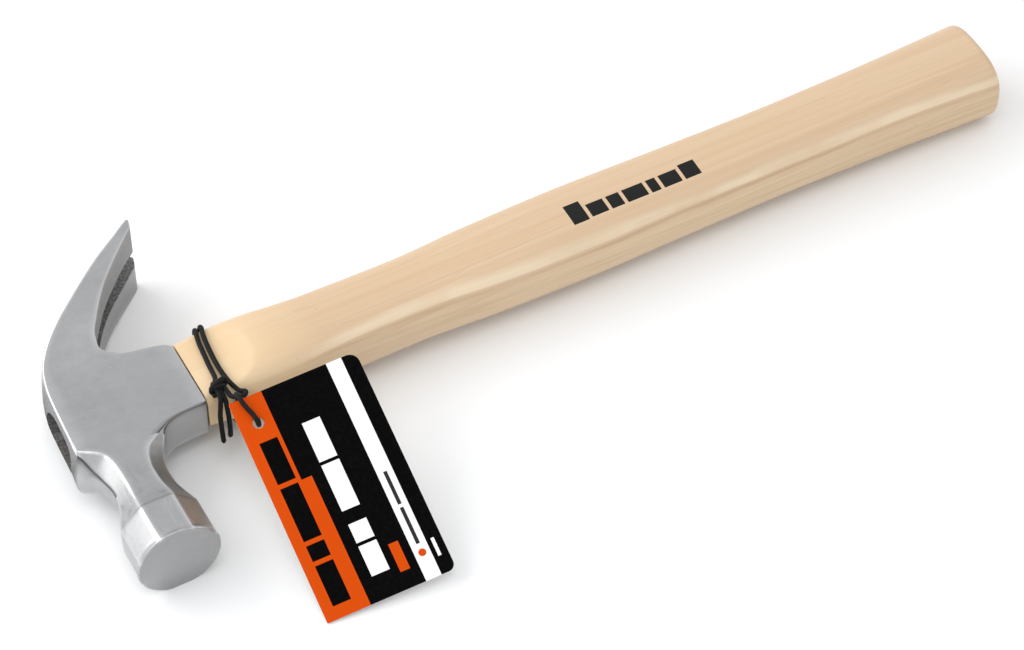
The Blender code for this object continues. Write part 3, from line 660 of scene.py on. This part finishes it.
def make_floor():
    """A pale floor that meets the hammer's resting points and is level further out."""
    points = [place(p) for p in RESTING_POINTS]
    normal = (points[1] - points[0]).cross(points[2] - points[0]).normalized()
    bm = bmesh.new()
    grid = []
    for x in FLOOR_LINES:
        row = []
        for y in FLOOR_LINES:
            past_x = max(0.0, abs(x) - FLOOR_REACH[0])
            past_y = max(0.0, abs(y - FLOOR_MIDDLE_Y) - FLOOR_REACH[1])
            share = min(1.0, math.hypot(past_x, past_y) / FLOOR_FADE)
            share = 1.0 - share * share * (3.0 - 2.0 * share)
            rise = points[0].z
            rise -= (normal.x * (x - points[0].x) + normal.y * (y - points[0].y)) / normal.z
            row.append(bm.verts.new((x, y, rise * share)))
        grid.append(row)
    for near, far in zip(grid, grid[1:]):
        for i in range(len(FLOOR_LINES) - 1):
            bm.faces.new((near[i], far[i], far[i + 1], near[i + 1]))
    mesh = bpy.data.meshes.new("floor")
    bm.to_mesh(mesh)
    bm.free()
    mesh.shade_smooth()
    floor = bpy.data.objects.new("floor", mesh)
    bpy.context.scene.collection.objects.link(floor)
    r = Recipe("pale_floor")
    mottled = r.noise((30, 30, 30), 2.0)
    mesh.materials.append(
        r.finish(r.mix(mottled, (0.93, 0.93, 0.93, 1), (0.95, 0.95, 0.95, 1)), 0.8)
    )


# ---------------------------------------------------------------- elastic


def curve_points(route, spacing):
    """Evenly spaced points, in metres, along a smooth curve through the route's own points. The
    curve is centripetal, so it never loops or comes to a point where the route's steps are
    uneven."""
    points = [place(p) for p in route]
    ends = [2 * points[0] - points[1], 2 * points[-1] - points[-2]]
    chain = [ends[0]] + points + [ends[1]]
    fine = []
    for a, b, c, d in zip(chain, chain[1:], chain[2:], chain[3:]):
        before, here, after = ((q - p).length ** 0.5 for p, q in ((a, b), (b, c), (c, d)))
        leave = (b - a) / before - (c - a) / (before + here) + (c - b) / here
        arrive = (c - b) / here - (d - b) / (here + after) + (d - c) / after
        for step in range(CURVE_STEPS):
            t = step / CURVE_STEPS
            fine.append(
                b * (2 * t**3 - 3 * t**2 + 1)
                + leave * here * (t**3 - 2 * t**2 + t)
                + c * (3 * t**2 - 2 * t**3)
                + arrive * here * (t**3 - t**2)
            )
    fine.append(points[-1])
    fine = np.array(fine)
    steps = np.linalg.norm(np.diff(fine, axis=0), axis=1)
    travelled = np.concatenate(([0.0], np.cumsum(steps)))
    count = max(2, round(travelled[-1] / spacing))
    wanted = np.linspace(0.0, travelled[-1], count + 1)
    line = np.stack([np.interp(wanted, travelled, fine[:, axis]) for axis in range(3)], axis=1)
    return line, wanted


def braid_mesh(name, line, travelled, radius):
    """A tube along the line whose skin is braided: yarns cross over and under in both ways."""
    tangents = np.gradient(line, axis=0)
    tangents /= np.linalg.norm(tangents, axis=1)[:, None]
    side = np.cross(tangents[0], (0.0, 0.0, 1.0))
    side /= np.linalg.norm(side)
    pitch = BRAID_PITCH * radius
    sides = BRAID_SIDES
    points = []
    crests = []
    for i, (middle, tangent) in enumerate(zip(line, tangents)):
        side = side - tangent * side.dot(tangent)
        side /= np.linalg.norm(side)
        other = np.cross(tangent, side)
        along = 2 * math.pi * travelled[i] / pitch
        ends = min(travelled[i], travelled[-1] - travelled[i])
        taper = math.sqrt(min(1.0, 0.25 + ends / radius))
        for j in range(sides):
            angle = 2 * math.pi * j / sides
            right = math.cos(BRAID_YARNS * angle / 2 + along * 1.5)
            left = math.cos(BRAID_YARNS * angle / 2 - along * 1.5)
            crest = (max(abs(right), abs(left)) - CREST_LOW) / CREST_SPAN
            reach = radius * taper * (0.95 + 0.07 * crest)
            points.append(middle + reach * (math.cos(angle) * side + math.sin(angle) * other))
            crests.append(crest)
    faces = []
    for i in range(len(line) - 1):
        for j in range(sides):
            k = (j + 1) % sides
            faces.append(
                (i * sides + j, i * sides + k, (i + 1) * sides + k, (i + 1) * sides + j)
            )
    faces.append(tuple(reversed(range(sides))))
    faces.append(tuple((len(line) - 1) * sides + j for j in range(sides)))
    mesh = bpy.data.meshes.new(name)
    mesh.from_pydata(points, [], faces)
    mesh.update()
    vertex_values(mesh, "crest", crests)
    mesh.shade_smooth()
    return mesh


def knot_route():
    """Turns that look like a drawn-tight overhand knot: out along the strands, back over the first
    turns, and out again to tuck in. It isn't a true knot: the turns run through each other."""
    centre = np.array(KNOT_CENTRE)
    axis = np.array(KNOT_AXIS)
    axis /= np.linalg.norm(axis)
    across = np.cross(axis, (0.0, 0.0, 1.0))
    across /= np.linalg.norm(across)
    up = np.cross(across, axis)

    def spot(along, angle, reach):
        """A point at a distance along the knot's axis, an angle round it and a reach from it."""
        lean = 0.75 * math.cos(angle)
        side = across * math.cos(angle) + up * math.sin(angle) * 0.95
        return tuple(centre + axis * (along + lean) + side * reach)

    route = [spot(-1.9, -0.9, 0.5)]
    for i in range(17):
        t = i / 16
        route.append(spot(-1.25 + 2.4 * t, 2 * math.pi * 1.9 * t - 0.4, 1.4 + 0.1 * t))
    for i in range(1, 9):
        t = i / 8
        route.append(spot(1.15 - 2.3 * t, 2 * math.pi * (1.9 + 0.55 * t) - 0.4, 1.7 + 0.25 * t))
    for i in range(1, 7):
        t = i / 6
        route.append(spot(-1.15 + 2.6 * t, 2 * math.pi * (2.45 + 0.5 * t) - 0.4, 1.95 - 0.6 * t))
    route.append(spot(1.9, 2 * math.pi * 3.0 - 0.4, 0.6))
    return route


def make_elastic(material):
    """The elastic from tail to tail, and the knot's turns round it."""
    line, travelled = curve_points(ELASTIC_ROUTE, BRAID_SPACING)
    radius = CORD_DIAMETER / 2 * UNIT
    mesh = braid_mesh("elastic_loop", line, travelled, radius)
    mesh.materials.append(material)
    elastic = add_piece(
        "elastic_loop",
        mesh,
        "hammer",
        (
            "elastic_strand_left",
            "elastic_strand_right",
            "elastic_tail_left",
            "elastic_tail_right",
            "elastic_tag_loop",
        ),
    )
    knot_line, knot_travelled = curve_points(knot_route(), BRAID_SPACING)
    knot_mesh = braid_mesh("knot_turns", knot_line, knot_travelled, radius)
    knot_mesh.materials.append(material)
    knot = add_piece("knot_turns", knot_mesh, "hammer", ("elastic_knot",))


# ---------------------------------------------------------------- head


def dulling_and_shade(side, height, station):
    """How dull the steel is, from 0 to 1, at a station along the slices; the same share paints
    shade:
    side 6 is the crown, painted darker downwards, side 7 the chamfer above it, and side 2 the
    claws' inner side."""
    if side == 6:
        along = min(1.0, max(0.0, (21.5 - station) / 1.5)) * min(1.0, max(0.0, station - 10.9))
        return along * min(1.0, max(0.66, 1.0 - height / 14.0))
    if side == 7 and 2.0 < station < 12.0:
        return 0.2
    if side == 2 and station > 19.0:
        return min(1.0, station - 19.0) * (0.30 if height < 0 else 0.50)
    return 0.0


def head_loop(row, station):
    """One slice of the head as a closed loop: an octagon with small rounded corners, whose sides
    bulge to a circle. Gives the points, how much each is on a lightened edge, below 0 in a crease
    that gets painted shade, and how dull it is, with its painted shade."""
    back_ridge, back_edge, front_edge, front_ridge = row[0:2], row[2:4], row[4:6], row[6:8]
    thick, back_height, front_height, roundness, bulge = row[8:13]
    heel = 0.5 + 0.5 * math.cos(math.pi * min(1.0, abs(station - HEEL_STATION) / HEEL_SPREAD))
    low_x = back_ridge[0] - 0.5 * bulge + CROWN_HEEL[0] * heel
    low_y = back_ridge[1] + CROWN_HEEL[1] * heel
    corners = [
        np.array((*back_edge, thick)),
        np.array((*front_edge, thick)),
        np.array((*front_ridge, front_height)),
        np.array((*front_ridge, -front_height)),
        np.array((*front_edge, -thick)),
        np.array((*back_edge, -thick)),
        np.array((low_x, low_y, -back_height)),
        np.array((*back_ridge, back_height)),
    ]
    centre = (corners[3] + corners[7]) / 2
    lengths = [np.linalg.norm(b - a) for a, b in zip(corners, corners[1:] + corners[:1])]
    reaches = [np.linalg.norm(c - centre) for c in corners]
    loop = []
    edges = []
    dulls = []
    for i in range(8):
        before, corner, after = corners[i - 1], corners[i], corners[(i + 1) % 8]
        radius = min(EDGE_RADIUS, CORNER_SHARE * lengths[i - 1], CORNER_SHARE * lengths[i])
        start = corner + (before - corner) / lengths[i - 1] * radius
        end = corner + (after - corner) / lengths[i] * radius
        for step in range(PER_CORNER + 1):
            t = step / PER_CORNER
            point = start * (1 - t) ** 2 + corner * 2 * t * (1 - t) + end * t**2
            if i in (6, 7):
                point[0] -= BULGE_SHARE * bulge * max(0.0, 1 - (point[2] / back_height) ** 2)
            loop.append((point, reaches[i]))
            # These creases by the collar and along the scallop get painted shade.
            collar_crease = i in (1, 2) and 10.4 < station < 14.6
            scallop_crease = i == 7 and 6.6 < station < 12.0
            sign = -1.0 if collar_crease or scallop_crease else 1.0
            dulls.append(dulling_and_shade(i if t > 0.5 else i - 1, point[2], station))
            edges.append(sign * (1.0 - abs(2 * t - 1) * 0.6))
        next_length = CORNER_SHARE * lengths[(i + 1) % 8]
        next_radius = min(EDGE_RADIUS, CORNER_SHARE * lengths[i], next_length)
        stop = after + (corner - after) / lengths[i] * next_radius
        for step in range(1, PER_SIDE):
            t = step / PER_SIDE
            point = end + (stop - end) * t
            reach = reaches[i] + (reaches[(i + 1) % 8] - reaches[i]) * t
            if i == 6:
                point[0] -= BULGE_SHARE * bulge * (1 - (point[2] / back_height) ** 2)
            loop.append((point, reach))
            edges.append(0.0)
            dulls.append(dulling_and_shade(i, point[2], station))
    shaped = []
    for point, reach in loop:
        arm = point - centre
        shaped.append(point + arm * (reach / np.linalg.norm(arm) - 1) * roundness)
    return shaped, edges, dulls


def eye_cutter():
    """The eye's hole, which flares towards the crown."""
    loops = []
    for x, share in ((-16.0, EYE_FLARE * 1.02), (0.0, 1.02), (30.0, 1.0)):
        outline = superellipse(
            EYE_HALF_DEPTH * share, EYE_HALF_THICKNESS * share, EYE_SQUARENESS, 72
        )
        loops.append([(x, y, z) for y, z in outline])
    return loft_mesh("eye_cutter", loops)


def slot_cutter():
    """The tapered slot that splits the claws, round at its root and bevelled on one side."""
    root_x, root_y = SLOT_ROOT
    run = Vector((30.8 - root_x, 48.9 - root_y))
    along = run.normalized()
    length = run.length
    half_root = SLOT_ROOT_WIDTH / 2
    half_mouth = SLOT_MOUTH_WIDTH / 2
    across = Vector((-along.y, along.x))
    loops = []
    for side, bevel in ((-14.0, SLOT_BEVEL), (1.0, SLOT_BEVEL), (8.5, -0.1), (14.0, -0.1)):
        outline = []
        for share in (0.0, 0.2, 0.5, 0.8, 0.93, 1.0, 1.25):
            half = half_root + (half_mouth - half_root) * share
            half += bevel * min(1.0, max(0.0, (1.0 - share) / 0.12))
            outline.append((length * share, half))
        root = outline[0][1]
        arc = [
            (-root * math.sin(a), -root * math.cos(a)) for a in np.linspace(0.0, math.pi, 17)[1:-1]
        ]
        outline = [(far, -half) for far, half in reversed(outline)] + arc + outline
        loop = []
        for far, z in outline:
            spot = Vector(SLOT_ROOT) + along * far + across * side
            loop.append((spot.x, spot.y, z))
        loops.append(loop)
    return loft_mesh("slot_cutter", loops)


def make_head(material):
    """The forged head. Vertices off its plain outer skin, in the eye and the slot, are rough."""
    values = [[*a, *b, *c, *d, *rest] for a, b, c, d, *rest in HEAD_SLICES]
    last = len(values) - 1
    wanted = [i / SLICE_STEPS for i in range(last * SLICE_STEPS + 1)]
    rows = smooth_columns(range(last + 1), values, wanted)
    loops = []
    edge_values = []
    dull_values = []
    for station, row in zip(wanted, rows):
        loop, edges, dulls = head_loop(row, station)
        loops.append(loop)
        edge_values += edges
        dull_values += dulls
    plain = loft_mesh("head_plain", loops)
    plain_points = mesh_points(plain)
    tree = KDTree(len(plain_points))
    for i, point in enumerate(plain_points):
        tree.insert(point, i)
    tree.balance()
    mesh = carve(plain, (eye_cutter(), slot_cutter()))
    mesh.name = "forged_head"
    edge_out = []
    dull_out = []
    skin_out = []
    for point in mesh_points(mesh):
        _, index, distance = tree.find(Vector(point))
        on_skin = distance < SKIN_REACH * UNIT
        edge_out.append(edge_values[index] if on_skin else 0.0)
        dull_out.append(dull_values[index] if on_skin else 0.0)
        skin_out.append(0.0 if on_skin else 1.0)
    edge_out = np.array(edge_out)
    # edge: lightened edges, partly wear and partly painted highlight; crease: painted shade; dull:
    # duller steel with painted shade.
    vertex_values(mesh, "edge", np.maximum(edge_out, 0.0))
    vertex_values(mesh, "crease", np.maximum(-edge_out, 0.0))
    vertex_values(mesh, "dull", dull_out)
    vertex_values(mesh, "skin", skin_out)
    mesh.materials.clear()
    mesh.materials.append(material)
    mesh.shade_smooth()
    mesh.set_sharp_from_angle(angle=HEAD_SHARP_ANGLE)
    face = max(mesh.polygons, key=lambda item: (item.normal.y < -0.99) * item.area)
    face.use_smooth = False
    add_piece("forged_head", mesh, "hammer", ("hammer_head",))


# ---------------------------------------------------------------- handle


def neck_limit(x, flat):
    """How far the handle may reach at x: flat by the head, then curving out of the way."""
    past = max(x - NECK_FLAT_END_X, 0.0)
    return flat + past * past / (2 * NECK_RUNOUT_RADIUS)


def handle_loop(x, inset=0.0):
    """One slice of the handle, an oval that the neck's flats cut back."""
    table = np.array(HANDLE_SLICES)
    half_y, half_z, middle = smooth_columns(table[:, 0], table[:, 1:], [x])[0]
    outline = superellipse(half_y - inset, half_z - inset, OVAL_SQUARENESS, HANDLE_SIDES)
    top = neck_limit(x, NECK_HALF_THICKNESS)
    front = neck_limit(x, NECK_FRONT_DEPTH)
    rear = neck_limit(x, NECK_REAR_DEPTH)
    return [
        (x, min(max(y + middle, -front), rear), min(max(z, -top), top)) for y, z in outline
    ]


def tenon_loop(x):
    """One slice of the tenon, a little smaller than the eye."""
    flare = 1.0 + (EYE_FLARE - 1.0) * max(-x, 0.0) / 16.0
    half_y = EYE_HALF_DEPTH * flare - TENON_CLEARANCE
    half_z = EYE_HALF_THICKNESS * flare - TENON_CLEARANCE
    return [(x, y, z) for y, z in superellipse(half_y, half_z, EYE_SQUARENESS, HANDLE_SIDES)]


def box_loops(x_start, x_end, half_start, half_end):
    """Two loops of a tapered box along X: each half is (half depth, half thickness, centre y)."""
    loops = []
    for x, (wide, half, centre_y) in ((x_start, half_start), (x_end, half_end)):
        loop = [(-wide, -half), (wide, -half), (wide, half), (-wide, half)]
        loops.append([(x, centre_y + y, z) for y, z in loop])
    return loops


def make_handle(material):
    """The turned handle: tenon, neck, grip, rounded rim and slightly domed butt."""
    stations = list(np.arange(COLLAR_X, SHOULDER_END_X, 0.75))
    stations += list(np.linspace(SHOULDER_END_X, BUTT_X - BUTT_DOME - BUTT_EDGE, 150))
    loops = [tenon_loop(x) for x in (TENON_END_X, 0.0, COLLAR_X)]
    loops += [handle_loop(x) for x in stations]
    for angle in np.linspace(0.0, math.pi / 2, 9)[1:-1]:
        x = BUTT_X - BUTT_DOME - BUTT_EDGE * (1 - math.sin(angle))
        loops.append(handle_loop(x, BUTT_EDGE * (1 - math.cos(angle))))
    rim = loops[-1]
    for share in (0.92, 0.8, 0.65, 0.45, 0.25):
        rise = BUTT_X - BUTT_DOME * (share - 0.25) ** 2 / 0.5
        loops.append([(rise, y * share, z * share) for _, y, z in rim])
    plain = loft_mesh("handle_plain", loops)
    start = TENON_END_X - CUTTER_START
    slope = 1.8 / 22.0
    wide_end = (20.0, 1.5 + slope * 2, 0.0)
    kerf = box_loops(start, TENON_END_X + KERF_DEPTH, wide_end, (20.0, 0.6, 0.0))
    cutters = [loft_mesh("kerf", kerf)]
    for centre_y in WEDGE_CENTRES_Y:
        wide_end, thin_end = (1.386, 3.5, centre_y), (0.5, 3.5, centre_y)
        slot = box_loops(start, TENON_END_X + WEDGE_SLOT_DEPTH, wide_end, thin_end)
        cutters.append(loft_mesh("wedge_slot", slot))
    mesh = carve(plain, cutters)
    mesh.name = "turned_handle"
    mesh.materials.clear()
    mesh.materials.append(material)
    mesh.shade_smooth()
    mesh.set_sharp_from_angle(angle=HANDLE_SHARP_ANGLE)
    add_piece("turned_handle", mesh, "hammer", ("handle",))


# ---------------------------------------------------------------- card


def rectangle(r, u, v, low_u, high_u, low_v, high_v):
    """1 where both values lie inside their ranges, 0 outside."""
    inside = r.math("MULTIPLY", r.math("GREATER_THAN", u, low_u), r.math("LESS_THAN", u, high_u))
    inside = r.math("MULTIPLY", inside, r.math("GREATER_THAN", v, low_v))
    return r.math("MULTIPLY", inside, r.math("LESS_THAN", v, high_v))


def card_material():
    """Printed card: an orange band with a step, a black panel, a white stripe and a black edge
    band, with plain bars where words would be. The back is plain white card."""
    r = Recipe("printed_card")
    uv = r.node("ShaderNodeUVMap", uv_map="card").outputs[0]
    split = r.axes(uv)
    u, v = split["X"], split["Y"]
    orange = (0.66, 0.073, 0.003, 1)
    black = (0.0015, 0.0015, 0.0015, 1)
    white = (0.9, 0.9, 0.9, 1)
    band = r.math("ADD", 0.255, r.math("MULTIPLY", r.math("GREATER_THAN", v, 0.412), 0.08))
    colour = r.mix(r.math("LESS_THAN", u, band), black, orange)
    colour = r.mix(rectangle(r, u, v, 0.765, 0.885, -1.0, 2.0), colour, white)
    blocks = (
        (black, (0.085, 0.225, 0.205, 0.395)),
        (black, (0.085, 0.225, 0.415, 0.655)),
        (black, (0.085, 0.225, 0.675, 0.745)),
        (black, (0.085, 0.225, 0.765, 0.945)),
        (white, (0.425, 0.565, 0.195, 0.375)),
        (white, (0.425, 0.565, 0.39, 0.60)),
        (white, (0.425, 0.565, 0.66, 0.745)),
        (white, (0.425, 0.565, 0.76, 0.895)),
        (orange, (0.625, 0.70, 0.80, 0.925)),
        ((0.03, 0.03, 0.03, 1), (0.812, 0.84, 0.515, 0.665)),
        ((0.03, 0.03, 0.03, 1), (0.812, 0.84, 0.68, 0.845)),
        (white, (0.92, 0.945, 0.845, 0.925)),
    )
    for shade, (low_u, high_u, low_v, high_v) in blocks:
        colour = r.mix(rectangle(r, u, v, low_u, high_u, low_v, high_v), colour, shade)
    du = r.math("MULTIPLY", r.math("SUBTRACT", u, 0.826), TAG_WIDTH)
    dv = r.math("MULTIPLY", r.math("SUBTRACT", v, 0.885), TAG_LENGTH)
    off = r.math("SQRT", r.math("ADD", r.math("MULTIPLY", du, du), r.math("MULTIPLY", dv, dv)))
    colour = r.mix(r.math("LESS_THAN", off, 1.0), colour, orange)
    fibre = r.noise((900, 900, 900), 4.0, 0.6)
    colour = r.mix(r.remap(fibre, 0.45, 0.8, 0.0, 0.005), colour, (0.6, 0.58, 0.55, 1))
    board = r.mix(fibre, (0.74, 0.73, 0.70, 1), (0.82, 0.81, 0.79, 1))
    colour = r.mix(r.attribute("front"), board, colour)
    normal = r.bump(fibre, 0.00004, 0.35)
    return r.finish(colour, r.remap(fibre, 0.3, 0.7, 0.42, 0.5), normal, Specular_IOR_Level=0.02)


def card_outline():
    """The card's rim, with rounded corners at its full width and nearly square ones at x = 0."""
    points = [(0.0, -TAG_NICK), (0.0, -TAG_LENGTH + 0.25), (0.25, -TAG_LENGTH)]
    low, high = TAG_CORNER_RADII
    for start, radius, centre in (
        (-math.pi / 2, low, (TAG_WIDTH - low, low - TAG_LENGTH)),
        (0.0, high, (TAG_WIDTH - high, -high)),
    ):
        for angle in np.linspace(start, start + math.pi / 2, TAG_CORNER_STEPS):
            points.append(
                (centre[0] + radius * math.cos(angle), centre[1] + radius * math.sin(angle))
            )
    points.append((TAG_NICK, 0.0))
    return points


def make_card(material):
    """The card as a flat thin plate with a hole, cut into a grid so that it shades evenly."""
    turn = Matrix.Rotation(TAG_TURN, 3, "Z") @ Matrix.Rotation(TAG_ROLL, 3, "Y")
    turn = turn @ Matrix.Rotation(TAG_TILT, 3, "X")
    half = TAG_THICKNESS / 2
    bm = bmesh.new()
    hole_x, hole_y = TAG_HOLE
    outline = [bm.verts.new((x, y, 0.0)) for x, y in card_outline()]
    ring = [
        bm.verts.new(
            (
                hole_x + TAG_HOLE_RADIUS * math.cos(2 * math.pi * i / TAG_HOLE_SIDES),
                -hole_y + TAG_HOLE_RADIUS * math.sin(2 * math.pi * i / TAG_HOLE_SIDES),
                0.0,
            )
        )
        for i in range(TAG_HOLE_SIDES)
    ]
    edges = []
    for rim in (outline, ring):
        for a, b in zip(rim, rim[1:] + rim[:1]):
            edges.append(bm.edges.new((a, b)))
    bmesh.ops.triangle_fill(bm, use_beauty=True, use_dissolve=False, edges=edges)
    for axis, span in ((0, TAG_WIDTH), (1, -TAG_LENGTH)):
        for i in range(1, TAG_GRID):
            spot = Vector((0, 0, 0))
            spot[axis] = span * i / TAG_GRID
            way = Vector((0, 0, 0))
            way[axis] = 1.0
            geometry = bm.verts[:] + bm.edges[:] + bm.faces[:]
            bmesh.ops.bisect_plane(bm, geom=geometry, plane_co=spot, plane_no=way)
    for face in bm.faces:
        if face.normal.z < 0:
            face.normal_flip()
    skin = bmesh.ops.extrude_face_region(bm, geom=bm.faces[:])
    upper = [item for item in skin["geom"] if isinstance(item, bmesh.types.BMVert)]
    for vert in bm.verts:
        vert.co.z = -half
    for vert in upper:
        vert.co.z = half
    bmesh.ops.recalc_face_normals(bm, faces=bm.faces)
    layer = bm.loops.layers.uv.new("card")
    front = bm.verts.layers.float.new("front")
    for vert in bm.verts:
        vert[front] = 1.0 if vert.co.z > 0 else 0.0
    for face in bm.faces:
        for loop in face.loops:
            loop[layer].uv = (loop.vert.co.x / TAG_WIDTH, -loop.vert.co.y / TAG_LENGTH)
    for vert in bm.verts:
        vert.co = place(Vector(TAG_TOP_LEFT) + turn @ vert.co)
    mesh = bpy.data.meshes.new("swing_tag")
    bm.to_mesh(mesh)
    bm.free()
    mesh.shade_smooth()
    mesh.set_sharp_from_angle(angle=math.radians(40))
    mesh.materials.append(material)
    add_piece("swing_tag", mesh, "card", ("tag_card",))


# ---------------------------------------------------------------- everything


make_camera()
elastic_finish = elastic_material()
make_elastic(elastic_finish)
make_studio()
make_floor()
make_head(steel_material())
make_handle(wood_material())
make_card(card_material())
for node, finish in (
    ("wooden_wedge", wedge_wood_material()),
    ("steel_wedge_front", wedge_steel_material()),
    ("steel_wedge_rear", wedge_steel_material()),
):
    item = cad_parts[node]
    item.data.materials.clear()
    item.data.materials.append(finish)

bpy.context.view_layer.update()
